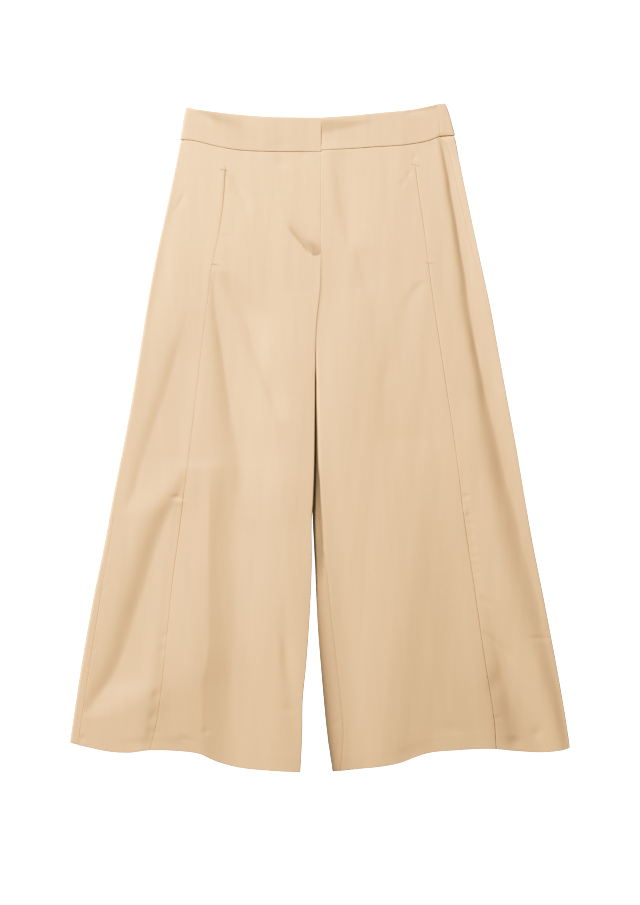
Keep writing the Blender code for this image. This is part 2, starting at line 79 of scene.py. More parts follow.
# The cut and the way it lies, shared by all the panels
cut = {
    "cloth": 0.6,
    "creaseAngle": 50.0,  # sharper bends of the cloth show as an edge
    "centre": 1.4,  # the right front's edge at centre front
    "waistGap": 0.15,  # half the waist seam's groove
    "fork": 88.0,
    "inseamFull": 40.0,  # level at which the inseams are fully rolled
    "nearHem": -400.0,  # a fold whose rows end below this goes on to the hem
    "firstLevels": (400.0, -430.0),  # where the search for the waist and hem lines starts
    "searchSteps": 5,
    # height of the outer edges' rolls: y, right, left
    "outerNose": (
        (452, 6.0, 7.4), (40, 6.0, 7.2), (-16, 6.0, 6.0), (-60, 6.0, 4.8), (-110, 6.0, 3.4), (-452, 6.0, 3.2),
    ),
    "outerLean": {"right": 3.0, "left": 1.2},  # how far in from the side edge the roll reaches
    # height of the inner edges' rolls at the fork, lower down, and how far down that is reached
    "forkNose": {"right": 8.5, "left": 3.5},
    "innerNose": {"right": 10.2, "left": 2.2},
    "noseRun": 150.0,
    "rollPower": 2.0,
    "partGap": 0.75,  # half the space between the legs' middles just below the fork
    "partAbove": 0.12,  # share of it that the fronts already have above the fork
    "partRise": 12.0,
    "frontParts": (102.0, -22.0),  # level and run over which the halves part
    "backParts": (94.0, -12.0),
    # y, right edge x, left edge x
    "outline": (
        (452, -179, 168), (440, -182, 173), (402, -188.5, 183), (375, -193.5, 188), (310, -207, 201.5),
        (246, -221, 215), (181, -233, 229), (116, -243.5, 241), (51, -254, 253), (-13, -266, 265),
        (-78, -279, 276), (-143, -291, 287.5), (-208, -304.5, 300.5), (-273, -316.5, 313),
        (-338, -327, 325), (-410, -337.5, 336.5), (-426, -339, 337.5),
    ),
    # centre line, then the legs' inner edges: y, right x, left x, tuck, right lean, left lean
    "inner": (
        (452, 1.4, 1.4, 0, 4, 4), (250, 1.4, 1.4, 0, 4, 4), (228, 1.0, 1.0, 0.03, 3, 3.5),
        (204, 0.4, 0.4, 0.06, 2, 3), (186, -1.4, -1.4, 0.08, 2, 3), (153, -4.7, -5.0, 0.1, 1.5, 3),
        (124, -5.7, -6.8, 0.2, 1, 4), (100, -5.8, -8.4, 0.6, 0.9, 6), (88, -5.8, -9.0, 1, 0.9, 7),
        (51, -6.0, -8.6, 1, 0.9, 8), (-38, -7.0, -9.6, 1, 0.9, 11), (-84, -8.6, -10.6, 1, 0.9, 15),
        (-111, -10.4, -10.6, 1, 0.9, 18), (-176, -10.4, -7.4, 1, 0.9, 22), (-240, -13.2, -4.7, 1, 0.9, 26),
        (-305, -17.8, -0.2, 1, 0.9, 28),
        (-354, -22.5, 4.2, 1, 0.9, 28), (-402, -23.2, 9, 1, 0.9, 25), (-452, -25.8, 16.4, 1, 0.9, 17),
    ),
    # how far inside the outline the side seams run: y, right, left
    "sideSeam": (
        (452, 5, 10), (408, 6, 20), (395, 5, 14), (370, 4, 11), (330, 3, 10), (254, 3, 8), (186, 3, 4.2),
        (140, 3, 2.6), (0, 3, 2.2), (-60, 5, 2.2), (-116, 7, 2.4), (-190, 9.5, 2.6), (-260, 12, 2.6),
        (-452, 13, 2.8),
    ),
    # how far the left inseam lies inside that leg's inner edge
    "leftInseam": (
        (88, 0), (10, 2), (-51, 5.5), (-95, 8.5), (-125, 11), (-177, 16), (-221, 19), (-281, 22),
        (-378, 24.5), (-418, 19.5), (-452, 11),
    ),
    "princess": {
        "right": (
            (386, -126.4), (360, -127), (308, -131), (267, -137.7), (235, -145), (186, -151),
            (132, -158), (58, -166.7), (-16, -175.5), (-78, -183.2), (-121, -188.3), (-197, -198.7),
            (-323, -211.5), (-377, -218.4), (-424, -229),
        ),
        "left": (
            (398, 128.5), (367, 128.8), (331, 133), (284, 140), (239, 145.5), (188, 152.3), (86, 167.6),
            (-22, 183.6), (-100, 192.8), (-205, 208.3), (-284, 219.6), (-378, 234.2), (-420, 237.2),
        ),
    },
    # x, top edge y, waist seam y
    "waist": {
        "right": (
            (-190, 446, 402.3), (-175.5, 444, 401.5), (-162, 442.5, 399), (-138, 439.2, 393),
            (-109, 436, 388.2), (-67, 433, 386.2), (0, 432, 386),
        ),
        "left": (
            (0, 432, 388), (43, 434.8, 390.2), (81, 438.6, 392.8), (108, 441, 394.4), (126, 443, 396.8),
            (135, 444.8, 398.2), (148.5, 447.6, 401.6), (162, 450, 406.6), (184, 451.5, 408.2),
        ),
    },
    "hem": {
        "right": (
            (-339, -410.4), (-310, -417.3), (-283, -422.6), (-256, -423.9), (-229, -420.5),
            (-189, -421.7), (-162, -425.4), (-148, -432), (-135, -437.4), (-108, -444.2),
            (-67, -448.2), (-25, -450.4),
        ),
        "left": (
            (16, -449.8), (54, -445.2), (81, -442.5), (108, -437.4), (128, -430), (148, -424),
            (175, -421.3), (229, -418.8), (263, -421.9), (297, -423.8), (324, -421.2), (339, -417.2),
        ),
    },
    # height of the front over the surface it lies on, before its folds
    "loft": (
        (452, 8.4), (386, 8.6), (310, 9.2), (245, 10), (88, 11), (-80, 12), (-270, 12.3), (-452, 12.2),
    ),
}

inward = {"right": 1.0, "left": -1.0}
sideColumn = {"right": 1, "left": 2}
leanColumn = {"right": 4, "left": 5}

# Folds of the front, each a line of its lowest points: y, x, depth, reach to -X, reach to +X.
# A ridge has a negative depth. A sharpness of 2 on a side is a round bank, less is a pressed crease.
rightFolds = {
    "pocketDrape": ((1.5, 2), (
        (226, -145.5, 0, 4, 10), (208, -143, 1.1, 4.5, 16), (181, -141, 2.0, 6, 24),
        (159, -139, 2.6, 6.5, 30), (140, -135.5, 3.2, 7.5, 36), (119, -132, 3.9, 9, 42),
        (85, -127, 4.8, 11, 50), (51, -122.5, 5.3, 13, 56), (20, -117.5, 5.4, 16.5, 58),
        (-16, -109.5, 5.4, 21, 58), (-40, -106, 4.2, 20, 54), (-57, -104, 3.0, 18, 48),
        (-84, -102, 1.2, 16, 40), (-110, -100, 0, 14, 30),
    )),
    "lapDrape": ((2, 2), (
        (225, -131, 0, 7, 10), (205, -120, 1.6, 10, 16), (184, -109, 2.8, 13, 24), (165, -100, 3.2, 15, 28),
        (146, -93, 2.8, 14, 28), (119, -87, 2.0, 10.5, 24), (95, -79, 1.6, 8.5, 20), (78, -71, 1.8, 8, 17),
        (55, -63, 1.9, 8, 15), (40, -58, 1.2, 7, 12), (22, -51, 0, 5, 8),
    )),
    "thighCrest": ((2, 1.25), (
        (-30, -147, 0, 60, 14), (-84, -149, -2.8, 80, 16), (-131, -150.5, -4.4, 90, 19),
        (-190, -150.5, -5.4, 90, 23), (-280, -151, -5.6, 90, 24), (-300, -153, -5.4, 90, 24),
        (-318, -156.5, -5.0, 90, 24), (-332, -159, -4.6, 90, 24), (-452, -161, -2.6, 90, 24),
    )),
    "thighHollow": ((2, 2), (
        (-20, -112, 0, 20, 50), (-84, -110, 2.4, 26, 60), (-131, -110, 3.8, 28, 64),
        (-200, -110, 4.2, 30, 64), (-313, -112, 4.2, 32, 64), (-452, -116, 3.2, 34, 60),
    )),
    "sideDrape": ((1.8, 2), (
        (-40, -172, 0, 12, 60), (-60, -180, 1.5, 13, 80), (-84, -193, 3.4, 15, 95),
        (-111, -206, 5.0, 17.5, 105), (-138, -215.5, 5.7, 19, 110), (-165, -224.5, 5.9, 19.5, 110),
        (-192, -232.5, 6.0, 19.5, 110), (-219, -241, 6.0, 19, 105), (-246, -250, 5.8, 18.5, 100),
        (-273, -258, 5.5, 18, 92), (-300, -268, 5.0, 17, 80), (-327, -281, 4.2, 15.5, 62),
        (-348, -297, 2.4, 12, 44), (-376, -316, 0, 8, 24),
    )),
    "outerDrape": ((2, 2), (
        (175, -176, 0, 8, 40), (132, -186, 1.0, 9, 55), (105, -193.5, 1.6, 10, 65), (51, -209.5, 1.8, 11, 70),
        (-3, -228, 1.8, 11, 70), (-43, -240, 1.6, 10, 60), (-75, -250, 1.2, 8, 40), (-100, -260, 0, 7, 20),
    )),
    "hipDrape": ((2, 2), (
        (315, -205, 0, 8, 14), (281, -212, 0.8, 9, 14), (186, -224, 0.8, 9, 14), (132, -229, 0, 9, 14),
    )),
    "pocketArc": ((2, 2), (
        (356, -125, 0, 3, 4), (345, -116, 0.7, 4.5, 6), (330, -107, 0.9, 6, 8), (315, -101, 0.7, 6, 8),
        (300, -96, 0, 4, 6),
    )),
    "hipCrease": ((2, 2), ((338, -180, 0, 2, 3), (317, -189, 0.45, 3, 6), (302, -197, 0, 2, 3))),
    "shinDrape": ((2, 2), (
        (-245, -60, 0, 5, 6), (-273, -49, 0.8, 5, 8), (-306, -46, 0.9, 6, 9), (-345, -40, 0, 6, 6),
    )),
    "innerDrape": ((2, 2), (
        (-192, -48, 0, 9, 12), (-273, -45, 0.8, 9, 12), (-354, -39, 0.9, 9, 12), (-430, -34, 0, 9, 12),
    )),
    "innerCrest": ((2, 2), (
        (200, -40, 0, 60, 60), (80, -40, -3, 60, 60), (-100, -50, -4, 60, 60), (-280, -60, -4, 60, 60),
        (-452, -66, -3.5, 60, 60),
    )),
}

leftFolds = {
    "sideFold": ((1.7, 2), (
        (408, 161, 0.6, 3, 8), (395, 164.4, 1.4, 3, 10), (375, 169, 2.4, 3.6, 14), (348, 174.2, 3.1, 4.2, 18),
        (335, 176, 3.3, 4.6, 20), (295, 183.4, 3.9, 5, 22), (254, 189.8, 4.4, 5.6, 24),
        (213, 196.9, 4.3, 6.6, 26), (186, 200, 4.5, 7.6, 26), (160, 204, 5.0, 7.4, 28),
        (119, 211.4, 5.8, 7.2, 30), (78, 220, 5.8, 8, 32), (51, 225, 6.2, 9.8, 32),
        (11, 235.6, 6.8, 12.5, 34), (-16, 242, 7.4, 14, 36), (-57, 251, 8.0, 16, 42),
        (-84, 259.5, 7.9, 17, 45), (-111, 267, 7.2, 18, 48), (-138, 272, 6.7, 19, 48),
        (-165, 278.5, 6.5, 19, 48), (-219, 294, 5.8, 18, 44), (-273, 304, 5.1, 17, 38),
        (-327, 318, 4.8, 14, 30), (-354, 324, 4.4, 12, 26), (-381, 329, 3.8, 10, 24), (-424, 336, 3.0, 9, 20),
    )),
    "sideCrest": ((2, 2), (
        (51, 200, 0, 26, 16), (-3, 212, -1.2, 24, 18), (-57, 226, -1.6, 24, 20), (-111, 240, -1.7, 24, 22),
        (-165, 251, -1.8, 25, 24), (-219, 266, -1.9, 25, 25), (-273, 282, -2.0, 26, 24),
        (-327, 298, -2.2, 26, 20), (-381, 314, -2.0, 26, 16), (-424, 325, -1.8, 26, 14),
    )),
    "hemHollow": ((2, 2), (
        (-219, 226, 0, 8, 24), (-286, 240, 2.2, 10, 30), (-330, 251, 3.8, 13, 36), (-354, 259, 4.3, 17, 38),
        (-394, 271, 4.8, 22, 40), (-424, 280, 4.8, 24, 40),
    )),
    "kneeCrest": ((2, 2), (
        (0, 118, 0, 45, 40), (-84, 118, -2.6, 45, 40), (-165, 115, -4.6, 45, 42), (-246, 108, -5.4, 45, 46),
        (-327, 98, -5.4, 45, 50), (-450, 82, -5, 45, 50),
    )),
    "frontDrape": ((2, 2), (
        (214, 142, 0, 4, 7), (204, 132, 0.5, 7, 9), (184, 121, 0.5, 9, 12), (159, 114, 0.4, 11, 14),
        (132, 108, 0.35, 12, 15), (105, 100, 0.4, 13, 16), (85, 91, 0.4, 13, 16), (62, 84, 0.3, 14, 16),
        (10, 78, 0.2, 14, 16), (-57, 76, 0, 12, 14),
    )),
    "flyDrape": ((2, 2), (
        (390, 19, 0, 6, 10), (375, 23, 0.8, 8, 16), (335, 29, 1.4, 10, 22), (301, 35, 1.4, 10, 22),
        (274, 39, 0.9, 8, 16), (250, 43, 0, 6, 10),
    )),
    "thighDrape": ((2, 2), (
        (258, 48, 0, 4, 8), (243, 54, 0.7, 6, 13), (213, 61, 0.7, 7, 13), (192, 65, 0, 5, 8),
    )),
    "innerCrest": ((2, 2), (
        (200, 40, 0, 50, 50), (80, 40, -3, 50, 50), (-100, 50, -4, 50, 50), (-280, 50, -3, 50, 50),
        (-452, 50, -2, 50, 50),
    )),
    "calfCrease": ((1.7, 1.7), (
        (-258, 216, 0, 3, 4), (-267, 226, 0.7, 4, 6), (-286, 246, 1.0, 5, 7), (-312, 257, 0, 4, 7),
    )),
}

folds = {"right": rightFolds, "left": leftFolds}

# Small dents, or bumps where the depth is negative: x, y, half length, half width, depth, turn in degrees
marks = {
    "right": (
        (-123, 328, 5, 1.6, 0.35, -10), (-126, 304, 3, 1.5, 0.3, -10), (-128, 271, 6, 1, 0.4, -8),
        (-53, 371, 10, 6, 0.45, -20), (-21, 382, 6, 3, 0.5, -30),
        (-192, -80, 9, 1.5, 1.2, -8), (-191, -87, 7, 3, -0.5, 0),
        (-209, -267, 4, 4, 0.5, 0), (-212, -286, 4, 5, 0.5, 0), (-221, -347, 9, 6, 0.7, 50),
        (-226, -376, 8, 6, 0.6, 60), (-225, -396, 8, 5, 0.5, 0), (-240, -411, 20, 7, 0.5, 5),
        (-320, -405, 4, 3, 0.7, 0), (-181, -405, 9, 4, 0.7, -20), (-154, -395, 4, 4, 0.6, 0),
        (-44, -365, 7, 4, 0.5, -30), (-287, -158, 3, 2, 0.4, 20), (-292, -205, 3, 2, 0.4, 10),
        (-299, -245, 3, 2, 0.4, 25), (-305, -286, 3, 2, 0.4, 15),
    ),
    "left": (
        (127, 378, 4, 3, 0.5, 60), (120, 356, 4, 3, 0.45, 45), (112, 344, 5, 3, 0.45, 45),
        (197, -79, 6, 1.2, 0.9, -10), (195, -98, 7, 3, -0.5, 90), (223, -220, 9, 3, 0.8, -45),
        (292, -398, 6, 7, 0.8, 20), (235, -333, 16, 9, 1.2, 80), (239, -377, 5, 1.5, 0.8, 0),
        (262, -410, 10, 8, 1.2, 0), (4, -228, 5, 1.5, 0.9, 0), (5, -267, 4, 1.2, 0.6, 0),
        (8, -280, 4, 1.2, 0.6, 0), (22, -383, 6, 2, 0.8, 20), (26, -414, 9, 2, 0.6, 90),
        (179, -392, 16, 7, 0.5, -15), (125, -425, 22, 14, 0.8, 10), (295, -270, 12, 2, 0.8, 0),
        (200, -104, 4, 1.6, 0.55, 5), (202, -116, 5, 1.6, 0.5, -5), (203.5, -125.5, 4, 1.4, 0.5, 0),
        (204, -132, 5, 1.4, 0.55, 8), (205, -139, 4, 1.4, 0.45, -8), (206, -146, 5, 1.4, 0.55, 0),
        (207, -152, 3, 1.4, 0.45, 5), (208, -159, 5, 1.6, 0.55, -5), (210, -171, 4, 1.6, 0.45, 10),
        (211, -181, 5, 1.6, 0.5, 0),
    ),
}


def outerX(side, y):
    return through(cut["outline"], y, side) + inward[side] * cut["cloth"] / 2


def tuckAt(y):
    return np.clip(through(cut["inner"], y, 3), 0.0, 1.0)


def innerX(side, y, parted):
    return through(cut["inner"], y, side) - inward[side] * parted * cut["partGap"]


def frontInnerX(side, y):
    above = cut["partAbove"] * np.minimum(1.0, tuckAt(y) * cut["partRise"])
    return innerX(side, y, above + (1 - cut["partAbove"]) * ramp(y, *cut["frontParts"]))


def backInnerX(side, y):
    return innerX(side, y, ramp(y, *cut["backParts"]))


def sideSeamX(side, y):
    return outerX(side, y) + inward[side] * through(cut["sideSeam"], y, side)


def princessX(side, y):
    return through(cut["princess"][side], y)


def ownSide(side, x):
    return np.minimum(x, 0) if side == "right" else np.maximum(x, 0)


def waistY(side, x):
    return through(cut["waist"][side], ownSide(side, x), 2)


def topY(side, x):
    return through(cut["waist"][side], ownSide(side, x), 1)


def hemY(side, x):
    return through(cut["hem"][side], x)


def inseamIn(side, y):
    return np.maximum(through(cut["leftInseam"], y), 0.0) if side == "left" else y * 0.0


def outerNose(side, y):
    return through(cut["outerNose"], y, side)


def innerNose(side, y):
    start, full = cut["forkNose"][side], cut["innerNose"][side]
    return start + (full - start) * ramp(y, cut["fork"], -cut["noseRun"])


def foldDepth(side, x, y):
    total = x * 0.0
    for sharpness, rows in folds[side].values():
        away = x - through(rows, y, 1)
        reach = np.where(away < 0, through(rows, y, 3), through(rows, y, 4))
        power = np.where(away < 0, sharpness[0], sharpness[1])
        within = (y < rows[0][0]) & ((y > rows[-1][0]) | (rows[-1][0] < cut["nearHem"]))
        total = total + np.where(within, through(rows, y, 2) * np.exp(-np.abs(away / reach) ** power), 0)
    return total


def oval(x, y, place, turn):
    # 1 in the middle of a soft oval, fading outwards; its place is x, y, half length, half width
    middleX, middleY, halfLength, halfWidth = place
    cos, sin = math.cos(math.radians(turn)), math.sin(math.radians(turn))
    along = ((x - middleX) * cos + (y - middleY) * sin) / halfLength
    across = ((y - middleY) * cos - (x - middleX) * sin) / halfWidth
    return np.exp(-along ** 2 - across ** 2)


def markDepth(side, x, y):
    total = x * 0.0
    for *place, depth, turn in marks[side]:
        total = total + depth * oval(x, y, place, turn)
    return total


# Slight unevenness that a pressed cotton keeps
unevenness = {
    # height, wavelength along X, along Y, turn
    "waves": (
        (0.16, 83, 420, 0.3), (0.13, 47, 340, 1.9), (0.07, 29, 260, 4.1), (0.035, 17, 190, 2.2),
        (0.015, 9.5, 130, 5.0),
    ),
    "sway": 0.9,  # how far the waves swing to the side as they run
    "swayLength": 0.37,
    "ripple": 0.6,
}


def uneven(x, y):
    total = x * 0.0
    for height, acrossWave, alongWave, turn in unevenness["waves"]:
        sway = unevenness["sway"] * np.sin(y / (alongWave * unevenness["swayLength"]) + turn * 2)
        across = np.sin(2 * math.pi * x / acrossWave + sway + turn)
        ripple = unevenness["ripple"] * np.sin(x / acrossWave)
        total = total + height * across * np.cos(2 * math.pi * y / alongWave + ripple + turn)
    return total


def frontHeight(side, x, y):
    # middle of the front's cloth
    height = through(cut["loft"], y) - foldDepth(side, x, y) - markDepth(side, x, y) + uneven(x, y)
    fromOuter = (x - outerX(side, y)) * inward[side]
    nose = outerNose(side, y)
    height = nose + (height - nose) * rounded(fromOuter / cut["outerLean"][side])
    fromInner = (frontInnerX(side, y) - x) * inward[side]
    lean = through(cut["inner"], y, leanColumn[side])
    return height - tuckAt(y) * (height - innerNose(side, y)) * (1 - rounded(fromInner / lean))


# Edges as (inset from the edge line, drop below the surface), from the buried end to the flat cloth
turnedIn = ((6, 0.7), (3, 0.7), (1.2, 0.69))
lappedIn = ((-8, 1.35), (-4, 1.35), (-1.5, 1.33), (-0.4, 1.2))
flatOn = ((0.3, 0), (1, 0), (2.2, 0), (4, 0))
turnedEdge = turnedIn + (
    (0.45, 0.62), (0.12, 0.48), (0, 0.33), (0.1, 0.16), (0.35, 0.05), (0.8, 0), (1.5, 0), (2.6, 0), (4, 0),
)
lappedEdge = lappedIn + ((0.3, 0.95), (1, 0.65), (1.8, 0.38), (2.8, 0.16), (4.2, 0.04), (6, 0))
pressedEdge = turnedIn + ((0.45, 0.64), (0.12, 0.5), (0, 0.34), (0.02, 0.12), (0.08, 0.03)) + flatOn
buttedEdge = lappedIn + ((-0.15, 0.8), (0, 0.4), (0.12, 0.1), (0.4, 0.02), (1.5, 0), (4, 0))
flushEdge = (
    (6, 0.64), (3, 0.64), (1.2, 0.62), (0.45, 0.5), (0.12, 0.28), (0, 0.1), (0.02, 0.04), (0.08, 0.01),
) + flatOn
flushUnder = (
    (-8, 1.35), (-4, 1.35), (-1.5, 1.3), (-0.4, 0.9), (-0.15, 0.3), (0, 0.08), (0.12, 0.02), (0.4, 0),
    (1.5, 0), (4, 0),
)
flyEdge = (
    (-9, 0.76), (-5, 0.76), (-2, 0.75), (-0.8, 0.72), (-0.3, 0.62), (-0.1, 0.48), (0.05, 0.32), (0.2, 0.16),
    (0.45, 0.06), (0.9, 0), (2, 0), (4, 0),
)
waistEdge = (
    (-7, 1.75), (-3, 1.75), (-1.2, 1.65), (-0.4, 1.3), (-0.05, 0.9), (0.15, 0.5), (0.4, 0.2), (0.9, 0.06),
    (1.8, 0.01), (3, 0), (4.5, 0),
)
hemEdge = (
    (20, 0.72), (12, 0.7), (5, 0.7), (2, 0.7), (0.8, 0.68), (0.3, 0.58), (0.08, 0.45), (0, 0.33),
    (0.06, 0.18), (0.25, 0.06), (0.7, 0), (1.6, 0), (3, 0),
)
backWaistEdge = ((-5, 1.2), (0, 1.0), (1.5, 0.5), (3.5, 0))
backHemEdge = ((18, 0.7), (9, 0.7), (3, 0.7), (0.8, 0.68), (0.15, 0.5), (0, 0.33), (0.15, 0.1), (0.7, 0))


def stations(startEdge, endEdge, middle):
    # share between the two edge lines, offset and drop of each row or column
    startIn, endIn = startEdge[-1][0], endEdge[-1][0]
    made = [(0.0, inset, drop) for inset, drop in startEdge]
    for step in range(1, middle):
        share = step / middle
        made.append((share, startIn * (1 - share) - endIn * share, 0.0))
    made += [(1.0, -inset, drop) for inset, drop in reversed(endEdge)]
    return np.array(made).T


def reshape(x, drop, start, shape, other, share):
    # lets the first columns, or the last if start is "end", follow the other edge shape by a share
    change = np.array(other) - np.array(shape)
    part, way = slice(len(shape)), 1.0
    if start == "end":
        part, change, way = slice(-len(shape), None), change[::-1], -1.0
    x[:, part] += way * change[:, 0] * share[:, part]
    drop[:, part] += change[:, 1] * share[:, part]


# How open each princess seam looks, from 0, pressed shut, to 1: y, right, left
seamOpen = (
    (400, 0, 0), (368, 0, 0), (361, 0.6, 0.3), (330, 0.6, 0.3), (300, 0.35, 0.25), (267, 0.15, 0.2),
    (240, 0.1, 0.2), (225, 0.1, 0.3), (150, 0.15, 0.35), (60, 0.1, 0.3), (-60, 0.2, 0.25), (-85, 0.5, 0.35),
    (-180, 0.4, 0.3), (-240, 0.25, 0.35), (-452, 0.4, 0.5),
)


def levelAt(edgeY, xAt, guess):
    # where each column meets an edge line, found step by step, as a column leans with its level
    y = guess
    for _ in range(cut["searchSteps"]):
        y = edgeY(xAt(y))
    return y


def spread(lowX, highX, startY, endY, columns, rows, firstLevels):
    # x and y of every point of a front sheet, and its last row and column values added up
    share, offset, columnDrop = (part[None, :] for part in columns)
    down, shift, rowDrop = (part[:, None] for part in rows)

    def xAt(y):
        return lowX(y) * (1 - share) + highX(y) * share + offset

    flat = share * down * 0.0
    first = levelAt(startY, xAt, flat + firstLevels[0])
    last = levelAt(endY, xAt, flat + firstLevels[1])
    y = first * (1 - down) + last * down - shift
    return xAt(y), y, columnDrop + rowDrop


# Soft painted shade, as a share by which the cloth's colour is darkened where shade falls. Along the left
# leg's inner edge, the strip that the other leg overhangs: y, the strip's end x, depth
stripShade = (
    (112, -5.6, 0), (98, -5.4, 0.5), (80, -5.0, 0.88), (51, -4.5, 0.9), (4, -3.1, 0.9), (-36, -1.8, 0.86),
    (-57, -0.2, 0.78), (-77, 0.8, 0.68), (-104, 2.5, 0.54), (-124, 3.7, 0.46), (-160, 5, 0.4), (-200, 4, 0),
)
# and its fade inwards: y, depth at the edge, reach, wide faint depth
edgeShade = (
    (262, 0, 1, 0), (228, 0.5, 1.2, 0), (180, 0.6, 1.6, 0), (130, 0.4, 1.3, 0), (90, 0.3, 1.2, 0),
    (60, 0, 2, 0), (-36, 0, 8, 0.04), (-77, 0, 8, 0.08), (-124, 0.05, 8, 0.11), (-150, 0.2, 8, 0.12),
    (-180, 0.45, 8, 0.13), (-219, 0.54, 8.5, 0.15), (-286, 0.68, 9, 0.17), (-354, 0.76, 9, 0.19),
    (-452, 0.68, 9, 0.2),
)
# Painted shade along the princess seams: y, right, left
seamShade = (
    (400, 0, 0), (366, 0, 0), (358, 0.3, 0.16), (325, 0.28, 0.16), (300, 0.18, 0.14), (267, 0.1, 0.12),
    (240, 0.06, 0.1), (100, 0.06, 0.12), (-60, 0.12, 0.06), (-84, 0.05, 0.03), (-240, 0, 0.05),
    (-452, 0, 0.1),
)
shadeReach = {"strip": 1.4, "wide": 32.0, "seam": 0.7}
# The wedge of painted shade beside the lapped end of the band, and the one over the fly's sunk foot
lapShade = {"depth": 0.17, "run": 75.0, "top": 429.0, "foot": 425.0, "taller": 15.0, "soft": 3.0, "fade": 0.4}
flyShade = {
    "depth": 0.27, "deeper": 0.13, "deeperFrom": (-20, 10), "from": (-47, 9), "reach": 9.0,
    "lip": (-1.44, 1.2), "top": 60.0,
}
# Spots of painted shade on the panels and band: x, y, half length, half width, depth, turn
shadeSpots = {
    "right": (
        (-143, 431, 16, 4.5, 0.17, -32), (-122, 424, 24, 9, 0.1, -32), (-192, -407, 18, 6, 0.1, 0),
        (-213, 270, 120, 10, 0.07, 79), (-100, 412, 70, 18, 0.03, -5),
        (-190, -320, 130, 55, 0.05, 80), (-222, -356, 62, 17, 0.11, 80), (-205, 110, 110, 32, 0.035, 75),
        (-60, 398, 16, 5, 0.05, 20), (-320, -362, 9, 6, 0.09, 40), (-11, 259, 10, 5.5, 0.24, -38),
    ),
    "left": (
        (236, -335, 44, 14, 0.1, -76), (254, -388, 48, 26, 0.13, -76), (150, 398, 14, 3, 0.05, 10),
        (152, 445, 18, 4, 0.16, 12), (195, -370, 80, 40, 0.05, 80),
    ),
}


# painted shade in the wedge beside the lapped end of the band
def besideLap(x, y):
    left = 1 - np.clip((x - cut["centre"]) / lapShade["run"], 0, 1)
    foot = lapShade["foot"] - lapShade["taller"] * left - lapShade["soft"]
    tall = ramp(y, lapShade["top"], -lapShade["soft"]) * ramp(y, foot, 2 * lapShade["soft"])
    return lapShade["depth"] * (x > 0) * tall * left ** lapShade["fade"]


# painted shade over the fly's sunk foot
def overFlyFoot(x, y):
    above = y - through(flyCurve["line"], x)
    depth = flyShade["depth"] + flyShade["deeper"] * ramp(x, *flyShade["deeperFrom"])
    upwards = np.exp(-np.maximum(above, 0) / flyShade["reach"]) * (above < flyShade["top"])
    return depth * ramp(x, *flyShade["from"]) * ramp(above, *flyShade["lip"]) * upwards


# painted shade at each point: the share by which the cloth's colour is darkened
def paintedShade(side, x, y):
    left = 1.0 + x * 0
    for *place, depth, turn in shadeSpots[side]:
        left = left * (1 - depth * oval(x, y, place, turn))
    fromSeam = (x - princessX(side, y)) / shadeReach["seam"]
    left = left * (1 - through(seamShade, y, side) * np.exp(-fromSeam ** 2))
    if side == "right":
        return 1 - left * (1 - overFlyFoot(x, y))
    stripEnd = through(stripShade, y, 1) + shadeReach["strip"] / 2
    strip = through(stripShade, y, 2) * ramp(x, stripEnd, -shadeReach["strip"])
    inside = np.maximum(x - frontInnerX(side, y), 0)
    fade = through(edgeShade, y, 1) * np.exp(-inside / through(edgeShade, y, 2))
    wide = through(edgeShade, y, 3) * np.exp(-(inside / shadeReach["wide"]) ** 2)
    return 1 - left * (1 - strip) * (1 - fade) * (1 - wide) * (1 - besideLap(x, y))


def layCloth(name, x, y, z, shade=None):
    # a grid of cloth with its points put in place, its UV map in metres along the cloth
    bpy.ops.object.select_all(action="DESELECT")
    rows, columns = x.shape
    bpy.ops.mesh.primitive_grid_add(x_subdivisions=columns - 1, y_subdivisions=rows - 1, size=1)
    sheet = bpy.context.object
    sheet.name = name
    mesh = sheet.data
    mesh.name = name
    row, column = np.divmod(np.arange(rows * columns), columns)
    row = rows - 1 - row  # the grid is made from its low Y side up
    points = np.stack([x, y, z], axis=-1) * mm
    mesh.vertices.foreach_set("co", points[row, column].astype(np.float32).ravel())
    along = np.linalg.norm(np.diff(points, axis=1), axis=2).cumsum(axis=1)
    along = np.concatenate([np.zeros((rows, 1)), along], axis=1)
    middle = columns // 2
    along = along - along[:, middle:middle + 1] + points[:, middle:middle + 1, 0]
    uv = np.stack([along, points[:, :, 1]], axis=-1)
    corner = np.empty(len(mesh.loops), np.int32)
    mesh.loops.foreach_get("vertex_index", corner)
    mesh.uv_layers[0].name = "weaveMap"
    mesh.uv_layers[0].data.foreach_set("uv", uv[row[corner], column[corner]].astype(np.float32).ravel())
    # the painted shade goes on as a point attribute that darkens the cloth's colour
    if shade is not None:
        shadePaint = mesh.attributes.new("paintedShade", "FLOAT", "POINT")
        shadePaint.data.foreach_set("value", shade[row, column].astype(np.float32))
    area = sum(face.area for face in mesh.polygons)
    wall = sheet.modifiers.new("wall", "SOLIDIFY")
    wall.thickness = cut["cloth"] * mm
    wall.offset = 0
    bpy.ops.object.modifier_apply(modifier=wall.name)
    bpy.ops.object.shade_smooth_by_angle(angle=math.radians(cut["creaseAngle"]))
    width = float(np.ptp(along, axis=1).max())
    length = float(np.linalg.norm(np.diff(points, axis=0), axis=2).sum(axis=0).max())
    return sheet, (width, length), area


def dress(made, node, slotName):
    sheet, flat, area = made
    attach(sheet, "root")
    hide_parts(node)
    min(area, flat[0] * flat[1])
    sheet.data.materials.append(finishes[slotName])


